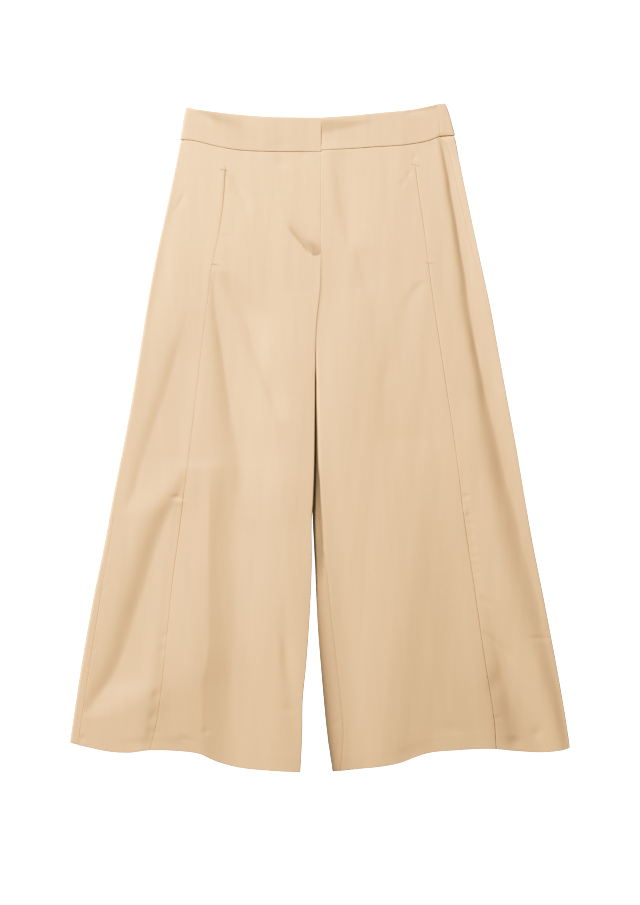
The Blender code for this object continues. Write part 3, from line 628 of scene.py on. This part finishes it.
front = {
    "rows": 290,
    "centreColumns": 108,
    "sideColumns": 56,
    "hemRidge": 0.12,
    "hemRidgeWidth": 1.3,
    "hemDepth": 19.5,
    # how far a princess seam's edges stand apart: pressed, added where open, less where sewn shut
    "seamGap": (0.03, 0.12, 0.05),
    "sewnFrom": {"right": 363.0, "left": 369.0},  # just above the pocket openings
    "sewnRun": 4.0,
    "innerGap": 0.02,
    "inseamGap": 0.1,
    "joined": (102.0, 14.0),  # from the fork up the inner edges are sewn together
    "lapped": (270.0, 14.0),  # from the fly's foot up the right front laps over the left
    "lapping": (250.0, 14.0),
    "sideOut": 0.22,  # past the side seam's line
    # below the release marks the side fronts lie lower, under the centre panels' pleats
    "pleatDip": {"right": 0.6, "left": 0.35},
    "pleatFrom": (-33.0, -30.0),
    "pleatAway": (15, -12),
}
# The fly's stitched foot: its line, and the sunk place above it
flyCurve = {
    "line": ((-46, 286), (-40, 279.5), (-32, 270), (-23, 259.5), (-16, 251.5), (-8, 247), (1.4, 248.5)),
    "depth": 1.9,
    "from": (-44, 20),
    "reach": 4.0,
    "longer": 9.0,
    "longerFrom": (-42, 40),
    "fade": 0.9,  # towards the centre edge
    "fadeFrom": (-20, 11),
    "lip": (-1.6, 1.6),
}


def hemLine(side, x, y):
    # the pressed upper edge of the hem's turning shows as a low ridge
    away = y - hemY(side, x) - front["hemDepth"]
    return front["hemRidge"] * np.exp(-(away / front["hemRidgeWidth"]) ** 2)


def flyPouch(x, y):
    # the right front sinks towards the fly's stitched foot and stands up again just below it
    above = y - through(flyCurve["line"], x)
    reach = flyCurve["reach"] + flyCurve["longer"] * ramp(x, *flyCurve["longerFrom"])
    along = ramp(x, *flyCurve["from"]) * (1 - flyCurve["fade"] * ramp(x, *flyCurve["fadeFrom"]))
    sunk = np.where(above > 0, np.exp(-np.maximum(above, 0) / reach), ramp(above, *flyCurve["lip"]))
    return flyCurve["depth"] * along * sunk


def sewnShut(side, y):
    # above its pocket opening each princess seam is pressed so flat that it doesn't show
    return ramp(y, front["sewnFrom"][side], front["sewnRun"])


def seamIn(side, y):
    pressed, opened, sewn = front["seamGap"]
    return pressed + opened * through(seamOpen, y, side) - sewn * sewnShut(side, y)


def frontGrid(side, edges, columns, seamEnd, seamShapes):
    # a front panel's points with the princess seam's edge pressed and sewn shut where it should be
    def atWaist(x):
        return waistY(side, x) - cut["waistGap"]

    rows = stations(waistEdge, hemEdge, front["rows"])
    x, y, drop = spread(*edges, atWaist, lambda x: hemY(side, x), columns, rows, cut["firstLevels"])
    opened, pressed, flush = seamShapes
    reshape(x, drop, seamEnd, opened, pressed, 1 - through(seamOpen, y, side))
    reshape(x, drop, seamEnd, pressed, flush, sewnShut(side, y))
    return x, y, drop


def makeCentreFront(side):
    way = inward[side]

    def atPrincess(y):
        return princessX(side, y) + way * seamIn(side, y)

    def atInner(y):
        inseam = inseamIn(side, y)
        groove = front["inseamGap"] * np.minimum(1.0, inseam / 2)
        return frontInnerX(side, y) - way * (front["innerGap"] + inseam + groove)

    columns = stations(turnedEdge, turnedEdge, front["centreColumns"])
    shapes = (turnedEdge, pressedEdge, flushEdge)
    if side == "right":
        x, y, drop = frontGrid(side, (atPrincess, atInner), columns, "start", shapes)
        sewn = ramp(y, *front["joined"]) * (1 - ramp(y, *front["lapping"]))
        reshape(x, drop, "end", turnedEdge, pressedEdge, sewn)
        z = frontHeight(side, x, y) - flyPouch(x, y)
    else:
        x, y, drop = frontGrid(side, (atInner, atPrincess), columns, "end", shapes)
        lapped = ramp(y, *front["lapped"])
        reshape(x, drop, "start", turnedEdge, pressedEdge, ramp(y, *front["joined"]) * (1 - lapped))
        reshape(x, drop, "start", turnedEdge, flyEdge, lapped)
        z = frontHeight(side, x, y)
    z = z + hemLine(side, x, y) - drop
    return layCloth("centreFront" + side.title(), x, y, z, paintedShade(side, x, y))


def makeSideFront(side):
    way = inward[side]

    def atSide(y):
        return sideSeamX(side, y) - way * front["sideOut"]

    def atPrincess(y):
        return princessX(side, y) - way * seamIn(side, y)

    ends, edges, seamEnd = (pressedEdge, lappedEdge), (atSide, atPrincess), "end"
    if side == "left":
        ends, edges, seamEnd = ends[::-1], edges[::-1], "start"
    columns = stations(*ends, front["sideColumns"])
    x, y, drop = frontGrid(side, edges, columns, seamEnd, (lappedEdge, buttedEdge, flushUnder))
    away = (princessX(side, y) - x) * way
    dip = front["pleatDip"][side] * ramp(y, *front["pleatFrom"]) * ramp(away, *front["pleatAway"])
    z = frontHeight(side, x, y) + hemLine(side, x, y) - dip - drop
    return layCloth("sideFront" + side.title(), x, y, z, paintedShade(side, x, y))


back = {
    "reach": 456.0,  # its sections are worked out from this level to the same one below
    "levels": 240,
    "rows": 190,
    "outerColumns": 58,
    "floorColumns": 14,
    "innerColumns": 34,
    "lift": 0.02,  # off the floor
    "lap": 6.0,  # how far the back runs on under the front at its seams
    "seamIn": 0.15,
    "under": 1.35,  # how far under the front it goes there
    "underFrom": (0.4, -0.8),  # by the distance from the side seam
    "inseamUnder": 1.8,
    "innerZone": 42.0,  # stretch of floor whose columns gather with the inner roll
    "leastRoll": 0.1,
    "centreLap": {"right": 1.2, "left": -0.2},  # the right half lies on the left at the centre back
    "centreRise": 0.66,
    "centreFrom": (0.9, 0.08),
    "seamStep": 2.0,  # between the two halves' waist seams
    "seamStepRun": 60.0,
    "hemIn": 1.5,
    "shadeOver": 1.2,  # painted shade only above this height, or this near the centre
    "shadeNear": 20.0,
}


def quarterTurn(edge, nose, way, low):
    # a rolled edge's lower half, from its outermost line down to the underside
    turn = np.linspace(0, math.pi / 2, 9)
    radius = nose - low
    return edge + way * radius * (1 - np.cos(turn)), nose - radius * np.sin(turn)


def backSection(side, y):
    # section of a back panel at one level: under the front at the side seam, round the side
    # edge, along the floor, and up the leg's inner edge or on to the centre back seam
    way, low = inward[side], cut["cloth"] / 2 + back["lift"]
    level = np.array([y])
    edge = outerX(side, level)[0]
    reach = through(cut["sideSeam"], level, side)[0] - back["seamIn"]
    gathered = reach * (1 - np.linspace(0, 0.97, 22)) ** 2
    away = np.concatenate([[reach + back["lap"], reach + back["lap"] / 2], gathered])
    x = edge + way * away
    z = frontHeight(side, x, x * 0 + y) - back["under"] * ramp(reach - away, *back["underFrom"])
    outer = [(x, z), quarterTurn(edge, outerNose(side, level)[0], way, low)]
    inner = backInnerX(side, level)[0]
    floorEnd = inner - way * back["innerZone"]
    if y >= cut["fork"]:
        lapped = back["centreLap"][side]
        run = np.linspace(0, 1, 14) ** 0.6
        x = floorEnd + (inner + way * lapped - floorEnd) * run
        return outer, [(x, low + back["centreRise"] * ramp(run, *back["centreFrom"]) * (lapped > 0))]
    grown = ramp(y, cut["fork"], cut["inseamFull"] - cut["fork"])
    nose = low + (innerNose(side, level)[0] - low) * max(grown, back["leastRoll"])
    rollX, rollZ = quarterTurn(inner, nose, -way, low)
    tail = [(np.array([floorEnd]), np.array([low])), (rollX[::-1], rollZ[::-1])]
    inseam = inseamIn(side, level)[0]
    if inseam > 0:
        run = max(inseam - back["seamIn"], 0) + back["lap"] * grown
        away = run * np.linspace(0.02, 1, 26) ** 1.6
        x = inner - way * away
        sunk = back["under"] * ramp(away, inseam - 1, back["inseamUnder"]) * grown
        tail.append((x, frontHeight(side, x, x * 0 + y) - sunk))
    return outer, tail


def evenly(pieces, columns):
    # points at even steps along a section's stretch
    x, z = (np.concatenate(part) for part in zip(*pieces))
    length = np.concatenate([[0], np.hypot(np.diff(x), np.diff(z)).cumsum()])
    at = length[-1] * np.linspace(0, 1, columns)
    return np.interp(at, length, x), np.interp(at, length, z)


def backTable(side):
    levels = np.linspace(back["reach"], -back["reach"], back["levels"])
    floor = np.linspace(0, 1, back["floorColumns"] + 2)[1:-1]
    xs, zs = [], []
    for y in levels:
        outer, tail = backSection(side, y)
        sections = zip(evenly(outer, back["outerColumns"]), evenly(tail, back["innerColumns"]), (xs, zs))
        for first, last, made in sections:
            made.append(np.concatenate([first, first[-1] + (last[0] - first[-1]) * floor, last]))
    return levels, np.array(xs), np.array(zs)


def readTable(table, y):
    # x and z of the columns at levels y, which has a value for each row and column
    levels, *parts = table
    count = range(y.shape[1])
    return [np.stack([np.interp(-y[:, at], -levels, part[:, at]) for at in count], 1) for part in parts]


def setIn(x, z, depth):
    # moves sections towards the garment's inside, square to themselves
    dx, dz = np.gradient(x, axis=1), np.gradient(z, axis=1)
    size = np.hypot(dx, dz) + 1e-9
    return x - depth * dz / size, z + depth * dx / size


def underShare(side, y, z):
    low = cut["cloth"] / 2
    return 1 - np.clip((z - low) / (outerNose(side, y) - low), 0.0, 1.0)


def backSeam(side, table):
    # the waist seam's level in each column, with the step between the two halves taken up
    def seamAt(x):
        step = back["seamStep"] * ramp(x, back["seamStepRun"], -back["seamStepRun"])
        return waistY(side, x) - step * (side == "left")

    guess = np.full((1, table[1].shape[1]), cut["firstLevels"][0])
    return levelAt(seamAt, lambda y: readTable(table, y)[0], guess)


def makeBack(side):
    table = backTable(side)
    rows = stations(backWaistEdge, backHemEdge, back["rows"])
    down, shift, rowDrop = (part[:, None] for part in rows)
    top = backSeam(side, table)
    low = top * 0.0 + cut["firstLevels"][1]
    lastX, lastZ = readTable(table, low)
    bottom = hemY(side, lastX) + back["hemIn"] * underShare(side, low, lastZ)
    y = top * (1 - down) + bottom * down - shift
    x, z = setIn(*readTable(table, y), inward[side] * rowDrop)
    if side == "right":
        return layCloth("backRight", x, y, z), table
    x, y, z = x[:, ::-1], y[:, ::-1], z[:, ::-1]
    # painted shade on the left back's inner strip
    shade = paintedShade(side, x, y) * ((z > back["shadeOver"]) | (np.abs(x) < back["shadeNear"]))
    return layCloth("backLeft", x, y, z, shade), table


band = {
    "half": 0.7,  # from its middle to each layer's middle
    "rows": 14,
    "columns": 96,
    "firstLevels": (440.0, 390.0),  # where the search for its top edge and seam starts
    "foldSteps": 6,
    # its lower edge's turn at the waist seam: offset, layer
    "seamTurn": (
        (-0.8, 1.0), (-0.3, 0.93), (-0.08, 0.76), (0, 0.5), (-0.15, 0.25), (-1.2, 0.04), (-7, 0.04),
    ),
    # closed ends: the two layers come together at the last
    "endSteps": (0.0, 0.06, 0.2, 0.45, 0.8, 1.4),
    "endShare": 0.25,
    "endRun": 0.2,
    "sideOut": 0.8,  # past the side seam's line
    "centreOut": 0.08,
    "lap": 30.0,  # the left half's underlap at the centre front
    "lapDrop": 1.9,
    "lapFrom": (1.55, -0.6),
    "lapSteps": (-22.0, -14.0, -7.0, -3.0, -1.2, -0.6, -0.35, -0.15, 0.0, 0.15, 0.4, 0.8, 1.6, 3.0),
    "thinner": 0.35,  # pressed harder near the centre front
    "thinnerFrom": (42, -30),
    # soft hollow of the right half and dip under the left half's top edge, each along a sloping line
    "hollow": {
        "depth": 0.9, "at": (-166, 441), "slope": -0.42, "wide": 6.0, "ends": ((-172, 18), (-98, -30)),
    },
    "dip": {"depth": 0.7, "at": (121, 439), "slope": 0.2, "wide": 3.0, "ends": ((112, 12), (170, -10))},
    # the step down beside the lapped end
    "step": {"depth": 0.9, "run": 76.0, "wide": 17.0, "top": 427.5, "slope": 0.02, "foot": (386, 16)},
}


def bandRows():
    # once round the folded band: share of the way from its top edge to the seam, offset, layer
    half, rows = band["half"], band["rows"]
    made = [(1 - step / rows, 0.0, -1.0) for step in range(rows)]
    for step in range(band["foldSteps"] + 1):
        turn = math.pi * step / band["foldSteps"]
        made.append((0.0, half * (1 - math.sin(turn)), -math.cos(turn)))
    made += [(step / rows, 0.0, 1.0) for step in range(1, rows)]
    made += [(1.0, offset, layer) for offset, layer in band["seamTurn"]]
    return np.array(made).T


def trough(form, x, y):
    line = form["at"][1] + (x - form["at"][0]) * form["slope"]
    within = ramp(x, *form["ends"][0]) * ramp(x, *form["ends"][1])
    return form["depth"] * np.exp(-((y - line) / form["wide"]) ** 2) * within


def bandDent(side, x, y):
    if side == "right":
        return trough(band["hollow"], x, y)
    step = band["step"]
    left = 1 - np.clip(x / step["run"], 0, 1)
    wide = np.maximum(step["wide"] * (1 - x / step["run"]), 0.5)
    tall = ramp(y, step["top"] + x * step["slope"], -wide) * ramp(y, *step["foot"])
    return step["depth"] * left * tall * (x > -40) + trough(band["dip"], x, y)


def makeFrontBand(side):
    way = inward[side]

    def atSide(y):
        return sideSeamX(side, y) - way * band["sideOut"]

    def atCentre(y):
        return y * 0.0 + cut["centre"] - way * band["centreOut"]

    def atSeam(x):
        return waistY(side, x) + cut["waistGap"]

    end = tuple((inset, 0.0) for inset in band["endSteps"])
    lapRun = tuple((inset - band["lap"], 0.0) for inset in band["endSteps"])
    lapRun += tuple((inset, 0.0) for inset in band["lapSteps"])
    lap = band["lap"] if side == "left" else 0.0
    columns = stations(lapRun if side == "left" else end, end, band["columns"])
    lowX, highX = (atSide, atCentre) if side == "right" else (atCentre, atSide)
    lines = (lambda x: topY(side, x), atSeam)
    x, y, layer = spread(lowX, highX, *lines, columns, bandRows(), band["firstLevels"])
    fromEnd = np.minimum(x - lowX(y) + lap, highX(y) - x)
    closed = np.sqrt(1 - (1 - np.clip(fromEnd / band["endRun"], 0, 1)) ** 2)
    half = band["half"] * (1 - band["thinner"] * ramp(np.abs(x), *band["thinnerFrom"]))
    half = half * (band["endShare"] + (1 - band["endShare"]) * closed)
    z = frontHeight(side, x, y) - bandDent(side, x, y) + layer * half
    if side == "left":
        z = z - band["lapDrop"] * ramp(x, *band["lapFrom"])
    return layCloth("frontWaistband" + side.title(), x, y, z, paintedShade(side, x, y))


def makeBackBand(tables):
    down, shift, layer = (part[:, None] for part in bandRows())
    halves = []
    for side, table in tables.items():
        seam = backSeam(side, table)
        seamX, seamZ = readTable(table, seam)
        top = topY(side, seamX) - back["hemIn"] * underShare(side, seam, seamZ)
        y = top * (1 - down) + (seam + cut["waistGap"]) * down - shift
        x, z = readTable(table, y)
        x, z = setIn(x, z, inward[side] * band["half"] * (underShare(side, y, z) - layer))
        half = np.stack([x, y, z])
        halves.append(half if side == "right" else half[:, :, ::-1])
    return layCloth("backWaistband", *np.concatenate(halves, axis=2))


class Wire:
    # one socket of a material, so that sums on values read as sums
    def __init__(self, finish, socket):
        self.finish = finish
        self.socket = socket

    def __add__(self, other):
        return self.finish.maths("ADD", self, other)

    __radd__ = __add__

    def __mul__(self, other):
        return self.finish.maths("MULTIPLY", self, other)

    __rmul__ = __mul__


class Finish:
    def __init__(self, name, settings):
        self.material = bpy.data.materials.new(name)
        self.material.use_nodes = True
        self.tree = self.material.node_tree
        self.shader = self.tree.nodes["Principled BSDF"]
        for socket, value in settings.items():
            self.shader.inputs[socket].default_value = value

    def node(self, kind, settings, inputs, output=0):
        made = self.tree.nodes.new(kind)
        for name, value in settings.items():
            setattr(made, name, value)
        pairs = inputs.items() if isinstance(inputs, dict) else enumerate(inputs)
        for key, value in pairs:
            if isinstance(value, Wire):
                self.tree.links.new(value.socket, made.inputs[key])
            else:
                made.inputs[key].default_value = value
        return Wire(self, made.outputs[output])

    def maths(self, operation, *values):
        return self.node("ShaderNodeMath", {"operation": operation}, values)

    def mix(self, factor, a, b):
        # 0, 6, 7 and 2 are the Mix node's factor, colours and result when it mixes colours
        return self.node("ShaderNodeMix", {"data_type": "RGBA"}, {0: factor, 6: a, 7: b}, 2)

    def feed(self, socket, wire):
        self.tree.links.new(wire.socket, self.shader.inputs[socket])


def dyed(colour, strength):
    return tuple(min(part * strength, 1) for part in colour[:3]) + (1,)


cotton = {
    "panel": (0.735, 0.49, 0.318, 1),
    "band": (0.708, 0.472, 0.307, 1),
    # dark brown that the painted shade mixes into the cloth's colour
    "shadePaint": (0.03, 0.014, 0.007, 1),
    "unevenness": 0.03,  # of its colour
    "roughness": (0.56, 0.12),  # least, and how much it varies
    "sheen": 0.12,
    # noise scales along X and Y, a metre
    "slubs": (620.0, 16.0, 1.0),
    "picks": (14.0, 560.0, 1.0),
    "clouds": 11.0,
    "threads": 2400.0,  # a metre
    "pickShare": 0.8,
    "twill": 0.25,  # how the weave leans
    "relief": {"warp": 0.5, "weft": 0.2, "slubs": 0.9, "picks": 0.4},
    "weaveHeight": 0.00006,
}


def makeCotton(name, colour):
    gloss = {"Specular IOR Level": 0.35, "Sheen Weight": cotton["sheen"], "Sheen Roughness": 0.45}
    finish = Finish(name, gloss)
    place = finish.node("ShaderNodeUVMap", {"uv_map": "weaveMap"}, [])

    def noise(vector, scale, detail):
        sockets = {"Vector": vector, "Scale": scale, "Detail": detail}
        return finish.node("ShaderNodeTexNoise", {"noise_dimensions": "2D"}, sockets)

    def streaks(stretch):
        return noise(finish.node("ShaderNodeMapping", {}, {"Vector": place, "Scale": stretch}), 1.0, 3.0)

    slubs, picks = streaks(cotton["slubs"]), streaks(cotton["picks"])
    clouds = noise(place, cotton["clouds"], 2.0)
    tone = slubs * 0.5 + picks * 0.25 + clouds * 0.25
    # painted shade: the attribute mixes the cloth's colour towards the dark brown
    shadePaint = finish.node("ShaderNodeAttribute", {"attribute_name": "paintedShade"}, [], "Fac")
    cloth = finish.mix(tone, dyed(colour, 1 - cotton["unevenness"]), dyed(colour, 1 + cotton["unevenness"]))
    finish.feed("Base Color", finish.mix(shadePaint, cloth, cotton["shadePaint"]))
    least, varied = cotton["roughness"]
    finish.feed("Roughness", least + tone * varied)
    turns = 2 * math.pi * cotton["threads"]
    across = finish.node("ShaderNodeSeparateXYZ", {}, [place], "X") * turns
    along = finish.node("ShaderNodeSeparateXYZ", {}, [place], "Y") * (turns * cotton["pickShare"])
    warp = finish.maths("SINE", across + along * cotton["twill"])
    weft = finish.maths("SINE", along)
    relief = cotton["relief"]
    height = warp * relief["warp"] + weft * relief["weft"] + slubs * relief["slubs"] + picks * relief["picks"]
    sockets = {"Strength": 0.35, "Distance": cotton["weaveHeight"], "Height": height}
    finish.feed("Normal", finish.node("ShaderNodeBump", {}, sockets))
    return finish.material


finishes = {
    "panel_cotton": makeCotton("panelCotton", cotton["panel"]),
    "waistband_cotton": makeCotton("waistbandCotton", cotton["band"]),
}
print("finishes ready")

tables = {}
for side in inward:
    made, tables[side] = makeBack(side)
    dress(made, "back_" + side, "panel_cotton")
print("backs laid")
for side in inward:
    dress(makeSideFront(side), "side_front_" + side, "panel_cotton")
    dress(makeCentreFront(side), "centre_front_" + side, "panel_cotton")
print("fronts laid")
dress(makeBackBand(tables), "back_waistband", "waistband_cotton")
for side in inward:
    dress(makeFrontBand(side), "front_waistband_" + side, "waistband_cotton")
print("waistband laid")


# Bar tacks that hold the ends of the pocket openings
tack = {
    # x, y, side
    "places": ((-130, 361.5, "right"), (-141, 234, "right"), (127.5, 368.5, "left"), (146.5, 236, "left")),
    "stitches": 28,
    "step": 0.42,
    "long": 1.7,
    "thread": 0.24,
    "threadSides": 8,
    "creaseAngle": 40.0,
    "sunk": 0.3,
    "turn": -8.0,
    "darker": 0.88,  # than the panels, in the spots of its twist noise
    "twist": 1400.0,
}


def makeThread():
    finish = Finish("tackThread", {"Specular IOR Level": 0.4, "Roughness": 0.5})
    place = finish.node("ShaderNodeTexCoord", {}, [], "Object")
    twist = finish.node("ShaderNodeTexNoise", {}, {"Vector": place, "Scale": tack["twist"], "Detail": 2.0})
    dark = dyed(cotton["panel"], tack["darker"])
    finish.feed("Base Color", finish.mix(twist, dark, cotton["panel"]))
    bump = finish.node("ShaderNodeBump", {}, {"Strength": 0.4, "Distance": 0.0001, "Height": twist})
    finish.feed("Normal", bump)
    return finish.material


def makeTack(number, placeX, placeY, side):
    bpy.ops.object.select_all(action="DESELECT")
    half = tack["step"] * (tack["stitches"] - 1) / 2
    height = float(frontHeight(side, np.array([placeX]), np.array([placeY]))[0])
    bpy.ops.mesh.primitive_cylinder_add(
        vertices=tack["threadSides"], radius=tack["thread"] * mm, depth=tack["long"] * mm,
        rotation=(math.pi / 2, 0, 0),
    )
    bar = bpy.context.object
    bar.name = "pocketTack" + str(number)
    bpy.ops.object.transform_apply(location=False, rotation=True, scale=True)
    row = bar.modifiers.new("row", "ARRAY")
    row.use_relative_offset = False
    row.use_constant_offset = True
    row.constant_offset_displace = (tack["step"] * mm, 0, 0)
    row.count = tack["stitches"]
    bpy.ops.object.modifier_apply(modifier=row.name)
    for vertex in bar.data.vertices:
        vertex.co.x -= half * mm
    lift = height + cut["cloth"] / 2 + tack["thread"] - tack["sunk"]
    bar.location = (placeX * mm, placeY * mm, lift * mm)
    bar.rotation_euler = (0, 0, math.radians(tack["turn"]))
    bpy.ops.object.transform_apply(location=True, rotation=True, scale=True)
    bpy.ops.object.shade_smooth_by_angle(angle=math.radians(tack["creaseAngle"]))
    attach(bar, "root")
    return bar


threadFinish = makeThread()
for number, place in enumerate(tack["places"]):
    makeTack(number, *place).data.materials.append(threadFinish)
print("pocket tacks sewn")


studio = {
    "surfaceSize": 14.0,
    "surfaceColour": (0.93, 0.93, 0.93, 1),
    "surfaceGlow": 2.5,
    "whiteLight": (1, 1, 1, 1),
    "dome": 0.40,
    "keyPower": 310.0,
    "keySize": 1.2,
    "keyDistance": 4.2,
    "keyElevation": 32.0,
    "keyWay": (-0.62, 0.78),
    "white": 2.0,
    # light and how bright it is shown, a soft shoulder as on film
    "tones": ((0.2, 0.18), (0.4, 0.375), (0.6, 0.56), (0.8, 0.69), (1.0, 0.79), (1.2, 0.87), (1.5, 0.96)),
    # before that, green and blue a little lower in the shade, which warms it
    "greenTones": ((0.3, 0.298), (0.45, 0.441), (0.56, 0.537), (0.68, 0.657), (0.8, 0.79), (1.0, 1.0)),
    "blueTones": ((0.1, 0.076), (0.22, 0.179), (0.3, 0.267), (0.38, 0.352), (0.46, 0.45), (0.56, 0.56)),
    "cameraHeight": 5.0,
    "viewLength": 1.22175,  # what the camera takes in along Y
    "viewMiddle": (0.0, -0.0196),
    "sensor": 36.0,
    "farthest": 50.0,
}

bpy.ops.object.select_all(action="DESELECT")
bpy.ops.mesh.primitive_plane_add(size=studio["surfaceSize"], location=(0, 0, 0))
surface = bpy.context.object
surface.name = "surface"
surface.visible_diffuse = False  # it looks white and throws no light up under the cloth
surface.visible_glossy = False
finish = Finish("paleSurface", {
    "Base Color": studio["surfaceColour"],
    "Roughness": 0.9,
    "Emission Color": studio["whiteLight"],
    "Emission Strength": studio["surfaceGlow"],
})
surface.data.materials.append(finish.material)

world = bpy.data.worlds.new("studio")
bpy.context.scene.world = world
world.use_nodes = True
dome = world.node_tree.nodes["Background"]
dome.inputs["Color"].default_value = studio["whiteLight"]
dome.inputs["Strength"].default_value = studio["dome"]

rise = math.radians(studio["keyElevation"])
away = studio["keyDistance"] * math.cos(rise)
bpy.ops.object.light_add(type="AREA", location=(
    studio["keyWay"][0] * away, studio["keyWay"][1] * away, studio["keyDistance"] * math.sin(rise),
))
key = bpy.context.object
key.name = "keyLight"
key.data.shape = "DISK"
key.data.size = studio["keySize"]
key.data.energy = studio["keyPower"]
key.rotation_euler = (-key.location).to_track_quat("-Z", "Y").to_euler()

bpy.ops.object.camera_add(location=(*studio["viewMiddle"], studio["cameraHeight"]), rotation=(0, 0, 0))
camera = bpy.context.object
camera.data.sensor_width = studio["sensor"]
camera.data.lens = studio["sensor"] * studio["cameraHeight"] / studio["viewLength"]
camera.data.clip_end = studio["farthest"]
bpy.context.scene.camera = camera

tones = bpy.context.scene.view_settings
tones.view_transform = "Standard"
tones.use_curve_mapping = True
tones.curve_mapping.white_level = (studio["white"],) * 3
greenCurve, blueCurve, lastCurve = tones.curve_mapping.curves[1:4]
for light, shown in studio["tones"]:
    lastCurve.points.new(light / studio["white"], shown)
for curve, rows in ((greenCurve, studio["greenTones"]), (blueCurve, studio["blueTones"])):
    for light, shown in rows:
        curve.points.new(light / studio["white"], shown / studio["white"])
tones.curve_mapping.update()
print("surface, light and camera ready")
